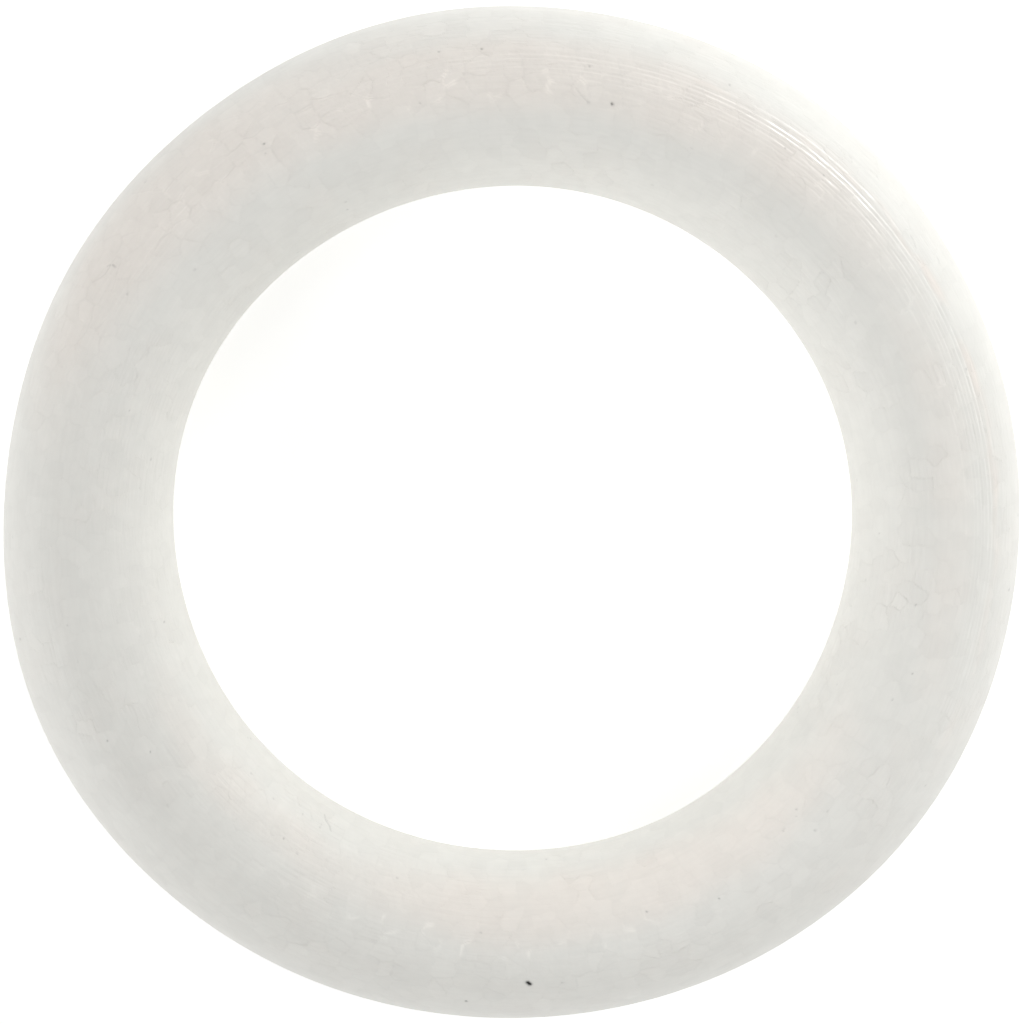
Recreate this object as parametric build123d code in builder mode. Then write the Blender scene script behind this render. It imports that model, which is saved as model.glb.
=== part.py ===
from build123d import *
import os

os.makedirs("parts", exist_ok=True)

# A craft ring moulded in one piece from expanded-polystyrene beads. It lies flat:
# +Z is its axis, and the origin is under the centre of its eye, on the surface it rests on.

# Driving dimensions, in millimetres
outside_diameter = 220.0
section_diameter = 36.5
skin_thickness = 0.3

# Worked out from them
section_radius = section_diameter / 2
core_radius = section_radius - skin_thickness
centreline_radius = (outside_diameter - section_diameter) / 2
parting_height = section_radius

# The core: beads fused to each other by steam, with the same round section all the way.
with BuildPart() as bead_core:
    with BuildSketch(Plane.XZ):
        with Locations((centreline_radius, parting_height)):
            Circle(core_radius)
    revolve(axis=Axis.Z)
bead_core.part.label = "bead_core"
export_step(bead_core.part, "parts/bead_core.step")

# The skin: beads that melted flat against the hot mould. Each half of the mould makes its
# own, and the two meet at the parting plane, halfway up. The ring rests on the lower one.
for name, kept_side in (("upper_skin", Align.MIN), ("lower_skin", Align.MAX)):
    with BuildPart() as skin:
        with BuildSketch(Plane.XZ):
            with Locations((centreline_radius, parting_height)):
                Circle(section_radius)
                Circle(core_radius, mode=Mode.SUBTRACT)
                Rectangle(
                    section_diameter,
                    section_radius,
                    align=(Align.CENTER, kept_side),
                    mode=Mode.INTERSECT,
                )
        revolve(axis=Axis.Z)
    skin.part.label = name
    export_step(skin.part, f"parts/{name}.step")
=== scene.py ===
import math

import bpy
import numpy as np
from mathutils import Matrix, Vector


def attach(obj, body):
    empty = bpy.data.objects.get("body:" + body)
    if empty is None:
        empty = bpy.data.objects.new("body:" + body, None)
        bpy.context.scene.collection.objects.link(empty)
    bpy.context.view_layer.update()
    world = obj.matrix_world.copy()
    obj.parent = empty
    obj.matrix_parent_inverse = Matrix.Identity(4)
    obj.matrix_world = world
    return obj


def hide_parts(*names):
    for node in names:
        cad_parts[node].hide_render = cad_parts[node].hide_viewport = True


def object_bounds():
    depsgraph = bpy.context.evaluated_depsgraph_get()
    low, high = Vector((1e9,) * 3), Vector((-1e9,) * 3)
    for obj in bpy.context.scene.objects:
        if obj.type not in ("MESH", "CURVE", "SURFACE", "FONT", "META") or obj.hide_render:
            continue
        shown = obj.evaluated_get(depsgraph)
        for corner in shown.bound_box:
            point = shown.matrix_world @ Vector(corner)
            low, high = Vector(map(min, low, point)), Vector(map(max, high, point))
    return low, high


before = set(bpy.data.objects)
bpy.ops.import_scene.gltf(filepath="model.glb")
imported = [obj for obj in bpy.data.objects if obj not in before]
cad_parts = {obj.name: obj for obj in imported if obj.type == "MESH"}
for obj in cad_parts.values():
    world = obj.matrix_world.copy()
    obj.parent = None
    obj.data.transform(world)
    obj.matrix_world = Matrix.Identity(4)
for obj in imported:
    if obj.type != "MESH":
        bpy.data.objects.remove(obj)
cad_low, cad_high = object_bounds()

# ---------------------------------------------------------------- sizes, in metres
MM = 0.001
OUTER_RADIUS = (cad_high.x - cad_low.x) / 2
SECTION_RADIUS = (cad_high.z - cad_low.z) / 2
CENTRELINE_RADIUS = OUTER_RADIUS - SECTION_RADIUS
CENTRE = Vector(
    ((cad_low.x + cad_high.x) / 2, (cad_low.y + cad_high.y) / 2, cad_low.z + SECTION_RADIUS)
)
FLOOR_HEIGHT = cad_low.z

# Mesh lines round the ring, and the step between them across the section, which is finer
# where the deep turning marks are: from and to those degrees across
STEPS_AROUND = 1536
STEP_ACROSS = 0.26 * MM
FINE_STEP_ACROSS = 0.09 * MM
FINE_BAND = (7.0, 36.0)
HIDDEN_STEPS_ACROSS = 24
CORE_STEPS = (512, 160)
# How many angles the step lengths and the widest place are worked out from
ACROSS_SAMPLES = 20001
RIM_SAMPLES = 3601

# The skin, how far it stays inside the CAD surface, and the core's gap and seams under it
SKIN_THICKNESS = 0.3 * MM
SURFACE_ALLOWANCE = 0.05 * MM
CORE_GAP = 0.02 * MM
CORE_SEAM_DEPTH = 0.25 * MM
CORE_SEAM_WIDTH = 0.35 * MM

# Directions on the ring: "around" is anticlockwise from +X, seen from above, and "across" is
# round the section, 0 on the crest and 90 at the outer edge. These values are in degrees, and
# what the functions call around and across is in radians.

# The moulding is out of round: lobes, growth as a share of the radius, where one points
OUTSIDE_LOBES = (
    (2, 0.0046, 55.0),
    (3, 0.0049, -36.0),
    (4, 0.0030, 40.0),
    (5, 0.0007, -20.0),
    (6, 0.0011, 27.0),
    (7, 0.0010, -1.0),
    (8, 0.0008, 16.0),
)
EYE_LOBES = (
    (0, -0.0043, 0.0),
    (1, 0.0038, 40.0),
    (2, 0.0031, -4.0),
    (3, 0.0020, 44.0),
    (4, 0.0012, -43.0),
    (5, 0.0020, 12.0),
)

# Beads: how far apart their centres and rows are, how uneven, and how they meet
BEAD_SIZE = 4.05 * MM
BEAD_ROW_SPACING = 0.87 * BEAD_SIZE
BEAD_JITTER = 0.38
BEAD_SIZE_SPREAD = 1.5 * MM
OUTLINE_WANDER = 0.22 * MM
OUTLINE_WAVES = (190, 34, 12)
SEAM_WIDTH = 0.15 * MM
SEAM_DEPTH = 0.036 * MM
# Seams come and go: waves round and across, mean, swing and most
SEAM_WAVES = (60, 14)
SEAM_MEAN, SEAM_SWING, SEAM_MOST = 0.6, 0.8, 1.5
RIM_OFFSET = 0.42 * MM
RIM_WIDTH = 0.22 * MM
RIM_HEIGHT = 0.007 * MM
RIM_LEAST = 0.3
BEAD_DISH = 0.010 * MM
BEAD_MIDDLE = 0.45 * BEAD_SIZE
BEAD_STEP = 0.004 * MM
BEAD_LEAN = 0.018
WRINKLE_HEIGHT = 0.010 * MM
WRINKLE_WAVES = (260, 42, 30)

# Where the beads show more: around, across, half-widths of that patch, strength
BEAD_PATCHES = (
    (128.0, 24.0, 34.0, 36.0, 1.0),
    (92.0, 12.0, 34.0, 20.0, 0.9),
    (60.0, 4.0, 26.0, 16.0, 0.5),
    (265.0, 12.0, 36.0, 24.0, 0.8),
    (310.0, -14.0, 30.0, 24.0, 0.6),
    (232.0, -48.0, 26.0, 26.0, 0.6),
)
BEADS_ELSEWHERE = 0.32

# Where bead edges are painted with highlights, in the same way
RIM_HIGHLIGHT_PATCHES = (
    (90.0, 8.0, 34.0, 12.0, 1.0),
    (40.0, 14.0, 36.0, 12.0, 0.6),
    (266.0, -12.0, 26.0, 12.0, 1.0),
    (128.0, 22.0, 24.0, 22.0, 0.5),
)
RIM_HIGHLIGHTS_ELSEWHERE = 0.06

# Where the white is warmer, in the same way
WARM_PATCHES = (
    (90.0, 14.0, 58.0, 25.0, 1.0),
    (132.0, 28.0, 32.0, 34.0, 1.0),
    (10.0, 2.0, 34.0, 15.0, 0.4),
    (284.0, -36.0, 44.0, 26.0, 1.0),
    (228.0, -38.0, 26.0, 16.0, 0.5),
)

# Turning marks that the mould left. Their line runs off centre, through these points
# (around, across). Each groove: distance outwards from that line, depth, half-width.
MARK_PATH = (
    (0.0, 30.6),
    (20.0, 30.2),
    (45.0, 28.8),
    (70.0, 27.0),
    (90.0, 25.5),
    (115.0, 20.0),
    (143.0, 12.5),
    (180.0, 9.0),
    (270.0, 16.0),
    (330.0, 29.0),
)
MARK_WANDER = 0.06 * MM
MARK_WAVES = 24
GROOVES = (
    (0.0 * MM, 0.085 * MM, 0.18 * MM),
    (-1.0 * MM, 0.075 * MM, 0.16 * MM),
    (-2.8 * MM, 0.055 * MM, 0.16 * MM),
    (-2.0 * MM, 0.022 * MM, 0.15 * MM),
    (-3.7 * MM, 0.028 * MM, 0.15 * MM),
    (-4.5 * MM, 0.020 * MM, 0.17 * MM),
    (-6.4 * MM, 0.016 * MM, 0.20 * MM),
    (1.6 * MM, 0.018 * MM, 0.17 * MM),
)
# Their outward-facing wall is steep, and the other this many times as wide
GROOVE_TAIL = 3.2
# Stretches where they are deep: around, half-width, strength
GROOVE_STRETCHES = ((42.0, 53.0, 1.0), (23.0, 24.0, 1.3), (143.0, 13.0, 0.45))
GROOVES_ELSEWHERE = 0.10
# How each one's depth comes and goes along it: waves, terms, mean, swing, least and most
GROOVE_WAVES, GROOVE_TERMS = 110, 14
GROOVE_MEAN, GROOVE_SWING, GROOVE_LIMITS = 0.80, 0.55, (0.12, 1.4)
# Each bead takes them more or less deep, and they fade in the seams
GROOVE_ON_BEAD, GROOVE_BEAD_SPREAD, GROOVE_SEAM_LOSS = 0.75, 0.5, 0.5
# Their outward-facing wall glints: how far inwards of the bottom and how wide, in half-widths
GLINT_SHIFT, GLINT_WIDTH = 0.75, 0.9
# A strip of warm-tinted painted shade runs beside them
GROOVE_SHADE_OFFSET = 1.0 * MM
GROOVE_SHADE_WIDTH = 1.2 * MM
GROOVE_SHADE_STRENGTH = 0.7
GROOVE_SHADE_WAVES = (60, 30)
GROOVE_SHADE_MEAN = 0.6

# Small voids between beads, painted dark as shade: around, across, radius, depth, how dark
VOIDS = (
    (121.6, 14.9, 0.22 * MM, 0.16 * MM, 0.50),
    (139.1, -17.6, 0.22 * MM, 0.14 * MM, 0.25),
    (146.9, 8.5, 0.24 * MM, 0.14 * MM, 0.20),
    (93.5, 29.4, 0.24 * MM, 0.16 * MM, 0.40),
    (101.7, 0.2, 0.20 * MM, 0.12 * MM, 0.20),
    (80.3, -1.8, 0.26 * MM, 0.14 * MM, 0.25),
    (77.3, 0.0, 0.27 * MM, 0.20 * MM, 0.95),
    (235.9, -31.2, 0.20 * MM, 0.12 * MM, 0.25),
    (228.1, -53.4, 0.20 * MM, 0.12 * MM, 0.20),
    (233.4, -58.0, 0.20 * MM, 0.12 * MM, 0.20),
    (316.0, -7.8, 0.22 * MM, 0.14 * MM, 0.30),
    (312.6, -21.7, 0.20 * MM, 0.12 * MM, 0.25),
    (353.7, 56.2, 0.26 * MM, 0.16 * MM, 0.40),
    (264.4, 34.8, 0.27 * MM, 0.18 * MM, 0.65),
    (278.9, -92.7, 0.30 * MM, 0.18 * MM, 0.40),
)
# Open gaps and cracks, painted dark as shade: points along each (around, across), half-width,
# depth, how dark
GAPS = (
    (((145.5, 31.2), (145.1, 28.7), (145.0, 25.2)), 0.13 * MM, 0.10 * MM, 0.26),
    (((145.6, 29.5), (146.5, 29.5), (147.3, 31.5), (148.1, 34.8)), 0.15 * MM, 0.06 * MM, 0.08),
    (((82.1, 5.7), (81.2, 1.3), (80.3, -1.8)), 0.13 * MM, 0.06 * MM, 0.10),
    (((81.0, 22.0), (80.8, 20.2)), 0.15 * MM, 0.10 * MM, 0.20),
    (((48.9, 45.2), (48.4, 43.7), (48.2, 42.0)), 0.13 * MM, 0.08 * MM, 0.12),
    (((37.6, 38.6), (36.7, 37.9), (36.2, 36.2)), 0.13 * MM, 0.08 * MM, 0.12),
    (((33.7, 49.4), (33.2, 48.8), (32.9, 46.9)), 0.13 * MM, 0.08 * MM, 0.12),
    (((236.7, -69.3), (237.2, -65.4), (238.3, -62.0), (238.8, -58.7)), 0.14 * MM, 0.09 * MM, 0.2),
)
# A dark speck moulded into the surface
SPECKS = ((((272.0, 15.5), (272.25, 16.9)), 0.40 * MM, 0.08 * MM, 1.3),)

# Pinholes, scattered all over and painted dark as shade
PINHOLES = 150
PINHOLE_RADIUS = 0.22 * MM
PINHOLE_SPREAD = (0.6, 1.0)
PINHOLE_DEPTH = 0.08 * MM
PINHOLE_DARKNESS = (0.1, 0.45)
# How far round the ring a void, gap or pinhole can reach, in degrees
STAMP_REACH = 4.0

# Painted highlights lie just inside a bead's edge, on the rim that catches the light
RIM_HIGHLIGHT_OFFSET = 0.22 * MM
RIM_HIGHLIGHT_WIDTH = 0.20 * MM
RIM_HIGHLIGHT_WAVES = (110, 26, 20)
RIM_HIGHLIGHT_GAIN, RIM_HIGHLIGHT_SCARCITY = 1.8, 0.5
# Painted highlight on the glinting groove walls: how strongly their colour is lifted
PAINTED_GLINT_STRENGTH = 1.15

# The line where the two halves of the mould met
PARTING_DEPTH = 0.05 * MM
PARTING_WIDTH = 0.16 * MM

RANDOM = np.random.default_rng(20)


# ---------------------------------------------------------------- the skin's shape
def lobed(around, lobes):
    """Growth of a radius in each direction, as a share of it."""
    return sum(
        share * np.cos(count * (around - math.radians(peak))) for count, share, peak in lobes
    )


def across_angles(first, last):
    """Angles across the section in radians, closer together where the deep turning marks are."""
    along = np.linspace(first, last, ACROSS_SAMPLES)
    inside = (along > FINE_BAND[0]) & (along < FINE_BAND[1])
    density = np.where(inside, 1 / FINE_STEP_ACROSS, 1 / STEP_ACROSS)
    lengths = density[1:] * np.radians(np.diff(along)) * SECTION_RADIUS
    count = np.concatenate([[0], np.cumsum(lengths)])
    steps = int(count[-1])
    return np.radians(np.interp(np.linspace(0, count[-1], steps + 1), count, along))


def on_torus(around, across, centreline, section, height=None):
    """Points at those angles, about the ring's centre; the section may have its own height."""
    reach = centreline + section * np.sin(across)
    flat = np.stack(np.broadcast_arrays(reach * np.cos(around), reach * np.sin(around)), -1)
    up = np.broadcast_to((section if height is None else height) * np.cos(across), flat.shape[:-1])
    return np.concatenate([flat, up[..., None]], -1)


def slow_noise(around, across, waves_around, waves_across, terms=9):
    """A smooth field from about -1 to 1, with up to that many waves round and across."""
    total = 0.0
    for _ in range(terms):
        a = RANDOM.integers(waves_around // 3, waves_around + 1)
        b = RANDOM.integers(0, waves_across + 1) * RANDOM.choice((-1, 1))
        total = total + np.cos(a * around + b * across + RANDOM.uniform(0, 2 * math.pi))
    return total / math.sqrt(2 * terms)


def bump(distance, half_width):
    """1 at no distance, 0.37 at the half-width, and soon nothing past it."""
    return np.exp(-((distance / half_width) ** 2))


def turned(around, degrees):
    """Signed angle from that direction, in degrees from -180 to 180."""
    return (np.degrees(around) - degrees + 180) % 360 - 180


def bead_rows():
    """Rows of bead centres on the plain torus: for each row its points, weights and tones."""
    rows = []
    count_rows = round(2 * math.pi * SECTION_RADIUS / BEAD_ROW_SPACING)
    for k in range(count_rows):
        across = -math.pi + (k + 0.5) * 2 * math.pi / count_rows
        reach = CENTRELINE_RADIUS + SECTION_RADIUS * math.sin(across)
        n = round(2 * math.pi * reach / BEAD_SIZE)
        step = 2 * math.pi / n
        around = (np.arange(n) + 0.5 * (k % 2)) * step
        around = around + RANDOM.uniform(-BEAD_JITTER, BEAD_JITTER, n) * step
        tilt = RANDOM.uniform(-BEAD_JITTER, BEAD_JITTER, n) * 2 * math.pi / count_rows
        points = on_torus(around, across + tilt, CENTRELINE_RADIUS, SECTION_RADIUS)
        weight = RANDOM.uniform(0, BEAD_SIZE_SPREAD, n) ** 2
        rows.append((points, weight, RANDOM.random((n, 7))))
    return rows


def bead_field(around, across, rows):
    """At each mesh point: distance to its bead's edge, its bead's random tones, and its lean."""
    shape = (len(around), len(across))
    edge, lean = np.empty(shape), np.empty(shape)
    tones = np.empty(shape + (4,))
    line = np.arange(len(around))
    wander = [
        OUTLINE_WANDER / size * slow_noise(around[:, None], across[None, :], *OUTLINE_WAVES)
        for size in (CENTRELINE_RADIUS, SECTION_RADIUS)
    ]
    for j, angle in enumerate(across):
        place = (angle + math.pi) / (2 * math.pi) * len(rows) - 0.5
        points = on_torus(
            around + wander[0][:, j], angle + wander[1][:, j], CENTRELINE_RADIUS, SECTION_RADIUS
        )
        centres, weights, tone = [], [], []
        for k in range(math.floor(place) - 1, math.floor(place) + 3):
            row_points, row_weight, row_tone = rows[k % len(rows)]
            n = len(row_points)
            first = np.floor(around / (2 * math.pi) * n - 0.5 * (k % len(rows) % 2)).astype(int)
            for shift in (-1, 0, 1, 2):
                pick = (first + shift) % n
                centres.append(row_points[pick])
                weights.append(row_weight[pick])
                tone.append(row_tone[pick])
        centres = np.stack(centres, 1)
        power = ((centres - points[:, None]) ** 2).sum(-1) - np.stack(weights, 1)
        own = power.argmin(1)
        apart = np.linalg.norm(centres - centres[line, own][:, None], axis=-1)
        gap = (power - power[line, own][:, None]) / (2 * np.maximum(apart, 1e-9))
        gap[line, own] = 1
        edge[:, j] = gap.min(1)
        own_tone = np.stack(tone, 1)[line, own]
        tones[:, j] = own_tone[:, :4]
        lean[:, j] = ((points - centres[line, own]) * (own_tone[:, 4:] * 2 - 1)).sum(-1)
    return edge, tones, lean


def from_spot(around, across, spot):
    """Distance along the surface from a spot given by its two angles."""
    reach = CENTRELINE_RADIUS + SECTION_RADIUS * math.sin(math.radians(spot[1]))
    along = np.radians(turned(around, spot[0])) * reach
    return np.hypot(along, (across - math.radians(spot[1])) * SECTION_RADIUS)


def from_line(around, across, points):
    """Distance along the surface from a line through several spots."""
    reach = CENTRELINE_RADIUS + SECTION_RADIUS * math.sin(math.radians(points[0][1]))
    x = np.radians(turned(around, points[0][0])) * reach
    y = (across - math.radians(points[0][1])) * SECTION_RADIUS
    nearest = np.inf
    flat = [
        (math.radians(a - points[0][0]) * reach, math.radians(c - points[0][1]) * SECTION_RADIUS)
        for a, c in points
    ]
    for (x0, y0), (x1, y1) in zip(flat, flat[1:]):
        share = ((x - x0) * (x1 - x0) + (y - y0) * (y1 - y0)) / ((x1 - x0) ** 2 + (y1 - y0) ** 2)
        share = np.clip(share, 0, 1)
        gap = np.hypot(x - x0 - share * (x1 - x0), y - y0 - share * (y1 - y0))
        nearest = np.minimum(nearest, gap)
    return nearest


def patchwork(around, across, patches, elsewhere):
    """The strength of the strongest patch at each point."""
    strength = elsewhere
    for where, side, wide, deep, most in patches:
        far = (turned(around, where) / wide) ** 2 + ((np.degrees(across) - side) / deep) ** 2
        strength = np.maximum(strength, elsewhere + (most - elsewhere) * np.exp(-(far**2)))
    return strength


def bead_relief(around, across, field, shown):
    """Height of the beads' faces and rims, where their seams are, and how deep those run."""
    edge, tones, lean = field
    swing = SEAM_SWING * slow_noise(around, across, *SEAM_WAVES)
    level = np.clip(SEAM_MEAN + swing, 0.0, SEAM_MOST)
    seam = bump(edge, SEAM_WIDTH)
    rim = bump(edge - RIM_OFFSET, RIM_WIDTH)
    middle = np.clip(edge / BEAD_MIDDLE, 0, 1)
    relief = shown * (
        -SEAM_DEPTH * level * seam
        + RIM_HEIGHT * rim * (RIM_LEAST + tones[..., 3])
        + BEAD_DISH * (tones[..., 1] - 0.5) * (1 - middle**2)
        + BEAD_STEP * (tones[..., 2] - 0.5)
        + BEAD_LEAN * lean
        + WRINKLE_HEIGHT * slow_noise(around, across, *WRINKLE_WAVES)
    )
    return relief, seam, level


def groove_strength(around):
    """How deep the turning marks are in each direction, as a share of their full depth."""
    strength = GROOVES_ELSEWHERE
    for where, wide, most in GROOVE_STRETCHES:
        far = (turned(around, where) / wide) ** 4
        strength = np.maximum(strength, GROOVES_ELSEWHERE + most * np.exp(-far))
    return strength


def press_grooves(relief, around, across, outwards, tone, seam):
    """Presses the turning marks into the relief, and returns where they are glossy."""
    gloss = np.zeros_like(relief)
    flat = across * 0
    off = outwards + MARK_WANDER * slow_noise(around, flat, MARK_WAVES, 0)
    on_bead = GROOVE_ON_BEAD + GROOVE_BEAD_SPREAD * (tone - 0.5)
    for shift, depth, half_width in GROOVES:
        swing = GROOVE_SWING * slow_noise(around, flat, GROOVE_WAVES, 0, GROOVE_TERMS)
        uneven = np.clip(GROOVE_MEAN + swing, *GROOVE_LIMITS)
        level = groove_strength(around) * uneven * on_bead * (1 - GROOVE_SEAM_LOSS * seam)
        wall = np.where(off < shift, half_width, GROOVE_TAIL * half_width)
        relief -= depth * level * bump(off - shift, wall)
        share = np.clip(level * math.sqrt(depth / GROOVES[0][1]), 0, 1)
        glint = bump(off - shift + GLINT_SHIFT * half_width, GLINT_WIDTH * half_width)
        gloss = np.maximum(gloss, share * glint)
    return gloss


def press_holes(relief, around, across):
    """Presses the voids, gaps, specks and pinholes into the relief, and returns how dark each is
    painted: painted shade in the voids, gaps and pinholes, and the speck's own dark colour.
    """
    dark = np.zeros_like(relief)

    def stamp(where, depth, darkness, shape):
        near = np.abs(turned(around[:, 0], where)) < STAMP_REACH
        height = shape(around[near], across)
        relief[near] -= depth * height
        dark[near] = np.maximum(dark[near], darkness * height)

    for where, side, radius, depth, darkness in VOIDS:
        spot = (where, side)
        stamp(where, depth, darkness, lambda a, c: bump(from_spot(a, c, spot), radius))
    for points, half_width, depth, darkness in GAPS + SPECKS:
        where = points[0][0]
        stamp(where, depth, darkness, lambda a, c: bump(from_line(a, c, points), half_width))
    for _ in range(PINHOLES):
        spot = (RANDOM.uniform(0, 360), RANDOM.uniform(-180, 180))
        radius = RANDOM.uniform(*PINHOLE_SPREAD) * PINHOLE_RADIUS
        darkness = RANDOM.uniform(*PINHOLE_DARKNESS)
        stamp(spot[0], PINHOLE_DEPTH, darkness, lambda a, c: bump(from_spot(a, c, spot), radius))
    return dark


def press_parting(relief, across):
    """Presses the parting line into the relief, at the outer edge and at the eye."""
    for parting in (-90.0, 90.0):
        off = np.radians(turned(across, parting)) * SECTION_RADIUS
        relief -= PARTING_DEPTH * bump(off, PARTING_WIDTH)


def groove_shade_strip(around, across, outwards):
    """How much warm-tinted painted shade lies beside the turning marks."""
    noise = slow_noise(around, across, *GROOVE_SHADE_WAVES)
    patchy = np.clip(GROOVE_SHADE_STRENGTH * (GROOVE_SHADE_MEAN + noise), 0, 1)
    return groove_strength(around) * patchy * bump(outwards - GROOVE_SHADE_OFFSET, GROOVE_SHADE_WIDTH)


def painted_rim_highlights(around, across, edge):
    """How much highlight is painted just inside the beads' edges."""
    noise = slow_noise(around, across, *RIM_HIGHLIGHT_WAVES)
    scattered = np.clip(RIM_HIGHLIGHT_GAIN * noise - RIM_HIGHLIGHT_SCARCITY, 0, 1)
    painted_highlight = bump(edge - RIM_HIGHLIGHT_OFFSET, RIM_HIGHLIGHT_WIDTH) * scattered
    return painted_highlight * patchwork(around, across, RIM_HIGHLIGHT_PATCHES, RIM_HIGHLIGHTS_ELSEWHERE)


def skin_relief(around, across, rows):
    """Height of the skin over its smooth form, and the fields that colour it."""
    field = bead_field(around[:, 0], across[0], rows)
    edge, tones, _ = field
    shown = patchwork(around, across, BEAD_PATCHES, BEADS_ELSEWHERE)
    relief, seam, seam_level = bead_relief(around, across, field, shown)
    line = np.interp(np.degrees(around), *zip(*MARK_PATH), period=360.0)
    outwards = (across - np.radians(line)) * SECTION_RADIUS
    gloss = press_grooves(relief, around, across, outwards, tones[..., 2], seam)
    dark = press_holes(relief, around, across)
    press_parting(relief, across)
    groove_shade = groove_shade_strip(around, across, outwards)
    painted_highlight = painted_rim_highlights(around, across, edge)
    fields = {
        # The seams: their painted shade, and also their roughness
        "seam": seam * np.clip(seam_level, 0, 1) * shown,
        "tone": tones[..., 0],
        "dark": dark,
        "gloss": np.clip(gloss, 0, 1),
        # Painted highlights: on the bead rims, and on the groove walls where the coat also glints
        "painted_highlight": np.maximum(painted_highlight, PAINTED_GLINT_STRENGTH * gloss),
        "mottle": shown,
        # Real warm patches, and the warm-tinted painted shade beside the turning marks
        "warm": np.maximum(patchwork(around, across, WARM_PATCHES, 0.0), groove_shade),
    }
    return relief, fields


def ring_form(around):
    """Radius of the centreline and half the width of the section, in each direction."""
    outside = OUTER_RADIUS * (1 + lobed(around, OUTSIDE_LOBES))
    eye = (OUTER_RADIUS - 2 * SECTION_RADIUS) * (1 + lobed(around, EYE_LOBES))
    turn = np.linspace(0, 2 * math.pi, RIM_SAMPLES)
    rim = OUTER_RADIUS * (1 + lobed(turn, OUTSIDE_LOBES))
    widest = max(np.abs(rim * np.cos(turn)).max(), np.abs(rim * np.sin(turn)).max())
    fit = OUTER_RADIUS / widest
    return (outside + eye) / 2 * fit, (outside - eye) / 2 * fit


def grid_mesh(name, points, fields, sharp_columns=()):
    """A surface closed in both directions, from a grid of points, with its fields."""
    rows, columns = points.shape[:2]
    index = np.arange(rows * columns).reshape(rows, columns)
    ahead, beside = np.roll(index, -1, 0), np.roll(index, -1, 1)
    corners = np.stack([index, ahead, np.roll(ahead, -1, 1), beside], -1).reshape(-1)
    mesh = bpy.data.meshes.new(name)
    mesh.vertices.add(rows * columns)
    mesh.vertices.foreach_set("co", (points + np.array(CENTRE)).astype(np.float32).ravel())
    mesh.loops.add(len(corners))
    mesh.loops.foreach_set("vertex_index", corners.astype(np.int32))
    mesh.polygons.add(rows * columns)
    mesh.polygons.foreach_set("loop_start", np.arange(0, len(corners), 4, dtype=np.int32))
    mesh.update(calc_edges=True)
    mesh.shade_smooth()
    ends = np.empty(2 * len(mesh.edges), dtype=np.int32)
    mesh.edges.foreach_get("vertices", ends)
    column = ends.reshape(-1, 2) % columns
    sharp = np.isin(column[:, 0], sharp_columns) & (column[:, 0] == column[:, 1])
    mesh.attributes.new("sharp_edge", "BOOLEAN", "EDGE").data.foreach_set("value", sharp)
    for label, values in fields.items():
        kind, key = ("FLOAT_VECTOR", "vector") if values.ndim == 3 else ("FLOAT", "value")
        layer = mesh.attributes.new(label, kind, "POINT")
        layer.data.foreach_set(key, values.astype(np.float32).ravel())
    return mesh


def skin_mesh(name, first, last, rows):
    """One half of the skin: its outside with all its detail, and its plain inner side."""
    around = (np.arange(STEPS_AROUND) * 2 * math.pi / STEPS_AROUND)[:, None]
    outer = across_angles(first, last)
    inner = np.radians(np.linspace(last, first, HIDDEN_STEPS_ACROSS))
    relief, fields = skin_relief(around, outer[None, :], rows)
    relief = relief - SURFACE_ALLOWANCE
    across = np.concatenate([outer, inner])[None, :]
    hidden = np.full((STEPS_AROUND, HIDDEN_STEPS_ACROSS), -SKIN_THICKNESS)
    offset = np.concatenate([relief, hidden], 1)
    centreline, section = ring_form(around)
    points = on_torus(around, across, centreline, section + offset, SECTION_RADIUS + offset)
    more_columns = ((0, 0), (0, HIDDEN_STEPS_ACROSS))
    fields = {label: np.pad(values, more_columns) for label, values in fields.items()}
    # Where a point is along the moulding, for the fine turning lines: round, round, across in mm
    whole = np.broadcast_to(across, offset.shape)
    turn = np.broadcast_to(around, offset.shape)
    round_x, round_y = np.cos(turn) * CENTRELINE_RADIUS, np.sin(turn) * CENTRELINE_RADIUS
    fields["place"] = np.stack((round_x, round_y, whole * SECTION_RADIUS), -1) / MM
    last_column = across.size - 1
    corners = (0, len(outer) - 1, len(outer), last_column)
    return grid_mesh(name, points, fields, corners)


def core_mesh(name, rows):
    """The bead core: the skin's inner side, with each bead a little swollen."""
    steps_around, steps_across = CORE_STEPS
    around = (np.arange(steps_around) * 2 * math.pi / steps_around)[:, None]
    across = (np.arange(steps_across) * 2 * math.pi / steps_across - math.pi)[None, :]
    edge, tones, _ = bead_field(around[:, 0], across[0], rows)
    offset = -SKIN_THICKNESS - CORE_GAP - CORE_SEAM_DEPTH * bump(edge, CORE_SEAM_WIDTH)
    centreline, section = ring_form(around)
    points = on_torus(around, across, centreline, section + offset, SECTION_RADIUS + offset)
    return grid_mesh(name, points, {"tone": tones[..., 0]})


# ---------------------------------------------------------------- materials
COOL_WHITE = (0.808, 0.801, 0.759, 1)
WARM_WHITE = (0.839, 0.797, 0.743, 1)
# Painted shade in the voids, gaps and pinholes, and the specks' own near black
HOLE_SHADE_AND_SPECK_COLOUR = (0.012, 0.011, 0.010, 1)
BEAD_CONTRAST = 0.028
# Painted shade in the seams between beads
SEAM_SHADE = 0.05
SATIN_ROUGHNESS = 0.56
GLOSSY_ROUGHNESS = 0.24
SEAM_ROUGHNESS = 0.08
COAT_ROUGHNESS = 0.20
COAT_IOR = 1.65
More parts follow.
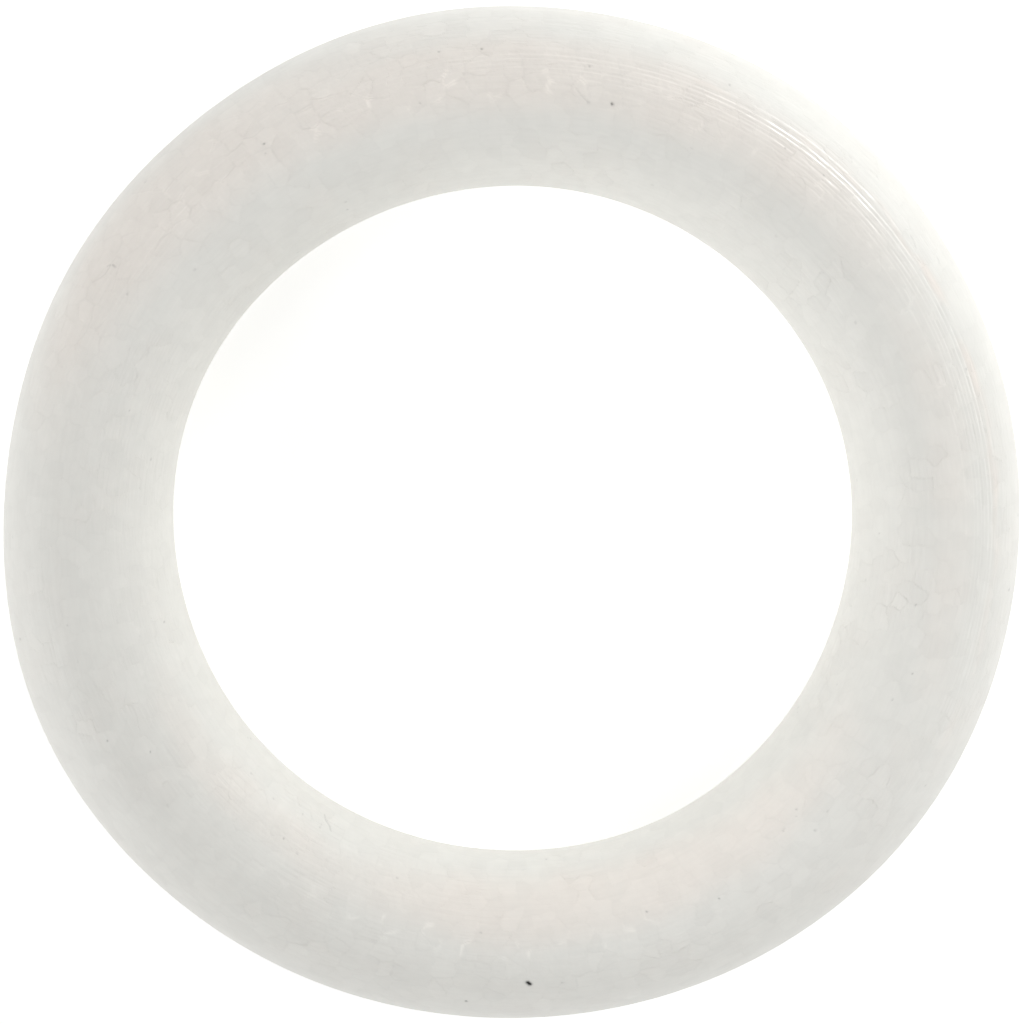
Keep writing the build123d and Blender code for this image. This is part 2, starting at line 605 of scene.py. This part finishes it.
# Painted highlight: how much lighter the bead rims and the glinting groove walls are painted
PAINTED_HIGHLIGHT_LIFT = 0.12
SKIN_IOR = 1.5
SKIN_SPECULAR = 0.45
WARM_CLOUDS = 0.9
CORE_LIGHT = (0.86, 0.855, 0.83, 1)
CORE_DARK = (0.74, 0.735, 0.71, 1)
CORE_ROUGHNESS = 0.7
CORE_RELIEF = 0.4 * MM
CORE_RELIEF_STRENGTH = 0.8
FLOOR_LIGHT = (0.95, 0.95, 0.945, 1)
FLOOR_DARK = (0.93, 0.93, 0.925, 1)
FLOOR_ROUGHNESS = 0.9
FLOOR_GRAIN = 60.0

# Frequencies per millimetre: of the turning lines round, round and across, and of the rest
LINE_FREQUENCY = (0.06, 0.06, 1.45)
LINE_BREAK = 5.0
LINE_CLOUDS = (0.40, 0.62)
LINE_LEAST = 0.25
LINE_HEIGHT = 0.17 * MM
# Painted light and shade along the turning lines, in the colour
LINE_SHADE = 0.06
GRAIN_FREQUENCY = 3.2
GRAIN_HEIGHT = 0.005 * MM
WRINKLE_FREQUENCY = 0.9
SHADED_WRINKLE_HEIGHT = 0.16 * MM
CLOUD_FREQUENCY = 0.07
BLOTCH_FREQUENCY = 0.24
BLOTCH_SHADE = 0.07


def new_material(name):
    """A material, its node tree and its shader."""
    material = bpy.data.materials.new(name)
    material.use_nodes = True
    return material, material.node_tree, material.node_tree.nodes["Principled BSDF"]


def add(tree, kind, **settings):
    """A new node of that kind; a setting called in_Something goes to its input Something."""
    node = tree.nodes.new(kind)
    for key, value in settings.items():
        if key.startswith("in_"):
            node.inputs[key[3:].replace("_", " ")].default_value = value
        else:
            setattr(node, key, value)
    return node


def attribute(tree, name):
    """The outputs that read one of the mesh's own fields."""
    return add(tree, "ShaderNodeAttribute", attribute_name=name).outputs


def multiply_add(tree, source, factor, offset):
    """source * factor + offset, where the last two are numbers or outputs."""
    node = add(tree, "ShaderNodeMath", operation="MULTIPLY_ADD")
    for socket, value in zip(node.inputs, (source, factor, offset)):
        if isinstance(value, (int, float)):
            socket.default_value = value
        else:
            tree.links.new(value, socket)
    return node.outputs[0]


def mix_colour(tree, factor, first, second):
    """From the first colour to the second by a factor from an output; each may be an output."""
    node = add(tree, "ShaderNodeMix", data_type="RGBA")
    sockets = (node.inputs[0], node.inputs[6], node.inputs[7])
    for socket, value in zip(sockets, (factor, first, second)):
        if isinstance(value, tuple):
            socket.default_value = value
        else:
            tree.links.new(value, socket)
    return node.outputs[2]


def surface_noise(tree, place, frequency, detail=3.0):
    """Noise from 0 to 1 over the moulding, at that frequency per millimetre."""
    node = add(tree, "ShaderNodeTexNoise", in_Scale=frequency, in_Detail=detail)
    tree.links.new(place, node.inputs["Vector"])
    return node.outputs["Fac"]


def turning_lines(tree, place, tone):
    """Stretched noise along the moulding, which starts afresh from bead to bead."""
    stretch = add(tree, "ShaderNodeVectorMath", operation="MULTIPLY")
    stretch.inputs[1].default_value = LINE_FREQUENCY
    tree.links.new(place, stretch.inputs[0])
    lines = add(tree, "ShaderNodeTexNoise", noise_dimensions="4D", in_Scale=1.0, in_Detail=2.0)
    tree.links.new(stretch.outputs[0], lines.inputs["Vector"])
    tree.links.new(multiply_add(tree, tone, LINE_BREAK, 0.0), lines.inputs["W"])
    return lines.outputs["Fac"]


def skin_colour(tree, place, clouds, lines):
    """A warm white in the warm patches and a cooler one elsewhere, a little different from bead
    to bead; painted shade in the seams, warm-tinted painted shade beside the turning marks,
    painted light and shade along the turning lines, painted highlights on the bead rims and
    glinting groove walls, painted shade nearly black in voids, gaps and pinholes, and the
    specks' own near black."""
    tone, seam = attribute(tree, "tone")["Fac"], attribute(tree, "seam")["Fac"]
    warm, painted_highlight = attribute(tree, "warm")["Fac"], attribute(tree, "painted_highlight")["Fac"]
    patchy = multiply_add(tree, clouds, 1.0, -0.5)
    warmth = multiply_add(tree, patchy, WARM_CLOUDS, warm)
    colour = mix_colour(tree, warmth, COOL_WHITE, WARM_WHITE)
    middle = (BEAD_CONTRAST + LINE_SHADE + BLOTCH_SHADE) / 2
    level = multiply_add(tree, tone, BEAD_CONTRAST, 1.0 - middle)
    level = multiply_add(tree, seam, -SEAM_SHADE, level)
    level = multiply_add(tree, lines, LINE_SHADE, level)
    blotches = surface_noise(tree, place, BLOTCH_FREQUENCY, 2.0)
    level = multiply_add(tree, blotches, BLOTCH_SHADE, level)
    level = multiply_add(tree, painted_highlight, PAINTED_HIGHLIGHT_LIFT, level)
    hue = add(tree, "ShaderNodeHueSaturation")
    tree.links.new(level, hue.inputs["Value"])
    tree.links.new(colour, hue.inputs["Color"])
    return mix_colour(tree, attribute(tree, "dark")["Fac"], hue.outputs["Color"], HOLE_SHADE_AND_SPECK_COLOUR)


def skin_bumps(tree, place, clouds, lines):
    """Grain, wrinkles where the beads show, and the turning lines, deeper in some clouds."""
    patches = add(tree, "ShaderNodeMapRange")
    patches.inputs["From Min"].default_value, patches.inputs["From Max"].default_value = LINE_CLOUDS
    patches.inputs["To Min"].default_value = LINE_LEAST
    tree.links.new(clouds, patches.inputs["Value"])
    grain = surface_noise(tree, place, GRAIN_FREQUENCY)
    wrinkles = surface_noise(tree, place, WRINKLE_FREQUENCY)
    wrinkles = multiply_add(tree, wrinkles, attribute(tree, "mottle")["Fac"], 0.0)
    lines = multiply_add(tree, lines, patches.outputs["Result"], 0.0)
    normal = None
    for height, distance in (
        (grain, GRAIN_HEIGHT),
        (wrinkles, SHADED_WRINKLE_HEIGHT),
        (lines, LINE_HEIGHT),
    ):
        relief = add(tree, "ShaderNodeBump", in_Distance=distance, in_Strength=1.0)
        tree.links.new(height, relief.inputs["Height"])
        if normal:
            tree.links.new(normal, relief.inputs["Normal"])
        normal = relief.outputs["Normal"]
    return normal


def skin_material():
    """Satin, duller in the seams, and glossy where the mould's marks pressed the skin smooth."""
    material, tree, shader = new_material("foam_skin")
    link = tree.links.new
    seam, gloss = attribute(tree, "seam")["Fac"], attribute(tree, "gloss")["Fac"]
    place = attribute(tree, "place")["Vector"]
    lines = turning_lines(tree, place, attribute(tree, "tone")["Fac"])
    clouds = surface_noise(tree, place, CLOUD_FREQUENCY, 4.0)
    link(skin_colour(tree, place, clouds, lines), shader.inputs["Base Color"])
    link(skin_bumps(tree, place, clouds, lines), shader.inputs["Normal"])
    rough = multiply_add(tree, gloss, GLOSSY_ROUGHNESS - SATIN_ROUGHNESS, SATIN_ROUGHNESS)
    link(multiply_add(tree, seam, SEAM_ROUGHNESS, rough), shader.inputs["Roughness"])
    link(gloss, shader.inputs["Coat Weight"])
    shader.inputs["IOR"].default_value = SKIN_IOR
    shader.inputs["Specular IOR Level"].default_value = SKIN_SPECULAR
    shader.inputs["Coat Roughness"].default_value = COAT_ROUGHNESS
    shader.inputs["Coat IOR"].default_value = COAT_IOR
    return material


def core_material():
    material, tree, shader = new_material("bead_foam")
    link = tree.links.new
    place = add(tree, "ShaderNodeTexCoord")
    beads = add(tree, "ShaderNodeTexVoronoi", in_Scale=1 / BEAD_SIZE)
    link(place.outputs["Object"], beads.inputs["Vector"])
    colour = add(tree, "ShaderNodeMix", data_type="RGBA")
    colour.inputs["A"].default_value = CORE_LIGHT
    colour.inputs["B"].default_value = CORE_DARK
    link(beads.outputs["Distance"], colour.inputs["Factor"])
    link(colour.outputs["Result"], shader.inputs["Base Color"])
    swell = add(tree, "ShaderNodeBump", invert=True, in_Distance=CORE_RELIEF)
    swell.inputs["Strength"].default_value = CORE_RELIEF_STRENGTH
    link(beads.outputs["Distance"], swell.inputs["Height"])
    link(swell.outputs["Normal"], shader.inputs["Normal"])
    shader.inputs["Roughness"].default_value = CORE_ROUGHNESS
    return material


def floor_material():
    material, tree, shader = new_material("studio_floor")
    link = tree.links.new
    place = add(tree, "ShaderNodeTexCoord")
    grain = add(tree, "ShaderNodeTexNoise", in_Scale=FLOOR_GRAIN, in_Detail=3.0)
    link(place.outputs["Object"], grain.inputs["Vector"])
    colour = add(tree, "ShaderNodeMix", data_type="RGBA")
    colour.inputs["A"].default_value = FLOOR_DARK
    colour.inputs["B"].default_value = FLOOR_LIGHT
    link(grain.outputs["Fac"], colour.inputs["Factor"])
    link(colour.outputs["Result"], shader.inputs["Base Color"])
    shader.inputs["Roughness"].default_value = FLOOR_ROUGHNESS
    shader.inputs["Specular IOR Level"].default_value = 0.0
    shader.inputs["Emission Color"].default_value = (1, 1, 1, 1)
    shader.inputs["Emission Strength"].default_value = FLOOR_GLOW
    return material


# ---------------------------------------------------------------- studio
FLOOR_RADIUS = 3.0
FLOOR_SIDES = 96
FLOOR_GLOW = 0.35
CAMERA_PLACE = Vector((-1.2, 74.6, 476.2)) * MM
CAMERA_SENSOR = 36.0
CAMERA_LENS = 78.7
CAMERA_AIM_ABOVE = 3.53 * MM
CAMERA_CLIP = (0.01, 20.0)
# Round soft lights: direction and height in degrees, distance and width in metres, watts
SOFT_LIGHTS = (
    ("key_low", 47.0, 12.0, 0.55, 0.22, 1.15),
    ("key_side", 328.0, 12.0, 0.55, 0.22, 0.50),
    ("back", 125.0, 22.0, 1.20, 0.90, 2.45),
    ("fill", 210.0, 22.0, 1.20, 0.90, 5.20),
    ("top_right", 0.0, 58.0, 0.32, 0.16, 0.110),
    ("top_back", 125.0, 58.0, 0.32, 0.16, 0.130),
    ("top_front", 300.0, 58.0, 0.32, 0.16, 0.120),
)
WORLD_STRENGTH = 0.3


def add_object(name, data):
    made = bpy.data.objects.new(name, data)
    bpy.context.scene.collection.objects.link(made)
    return made


def looking(place, target, up):
    """A placing that looks from place to target with that direction up in the picture."""
    back = (place - target).normalized()
    right = up.cross(back).normalized()
    turn = Matrix((right, back.cross(right), back)).transposed()
    return Matrix.Translation(place) @ turn.to_4x4()


def add_camera():
    data = bpy.data.cameras.new("camera")
    data.sensor_width = CAMERA_SENSOR
    data.lens = CAMERA_LENS
    data.clip_start, data.clip_end = CAMERA_CLIP
    camera = add_object("camera", data)
    place = CENTRE + CAMERA_PLACE
    aim = CENTRE + Vector((0, CAMERA_AIM_ABOVE, 0))
    camera.matrix_world = looking(place, aim, Vector((0, 1, 0)))
    bpy.context.scene.camera = camera


def add_floor():
    mesh = bpy.data.meshes.new("floor")
    turns = [2 * math.pi * k / FLOOR_SIDES for k in range(FLOOR_SIDES)]
    rim = [(FLOOR_RADIUS * math.cos(t), FLOOR_RADIUS * math.sin(t), FLOOR_HEIGHT) for t in turns]
    mesh.from_pydata(rim, [], [list(range(FLOOR_SIDES))])
    floor = add_object("floor", mesh)
    mesh.materials.append(floor_material())


def add_lights():
    for name, azimuth, elevation, distance, size, watts in SOFT_LIGHTS:
        data = bpy.data.lights.new(name, "AREA")
        data.shape = "DISK"
        data.size = size
        data.energy = watts
        light = add_object(name, data)
        a, e = math.radians(azimuth), math.radians(elevation)
        way = Vector((math.cos(a) * math.cos(e), math.sin(a) * math.cos(e), math.sin(e)))
        light.matrix_world = looking(CENTRE + way * distance, CENTRE, Vector((0, 0, 1)))
    world = bpy.data.worlds.new("studio")
    world.use_nodes = True
    background = world.node_tree.nodes["Background"]
    background.inputs["Color"].default_value = (1, 1, 1, 1)
    background.inputs["Strength"].default_value = WORLD_STRENGTH
    bpy.context.scene.world = world
    bpy.context.scene.view_settings.view_transform = "Standard"


# ---------------------------------------------------------------- the scene
def add_piece(mesh, material, node):
    """A piece of the one body, which stands for that CAD node."""
    piece = add_object(mesh.name, mesh)
    mesh.materials.append(material)
    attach(piece, "root")
    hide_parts(node)


add_camera()
beads = bead_rows()
skin = skin_material()
upper = skin_mesh("upper_skin_detail", -90, 90, beads)
add_piece(upper, skin, "upper_skin")
lower = skin_mesh("lower_skin_detail", 90, 270, beads)
add_piece(lower, skin, "lower_skin")
core = core_mesh("bead_core_detail", beads)
add_piece(core, core_material(), "bead_core")

add_floor()
add_lights()
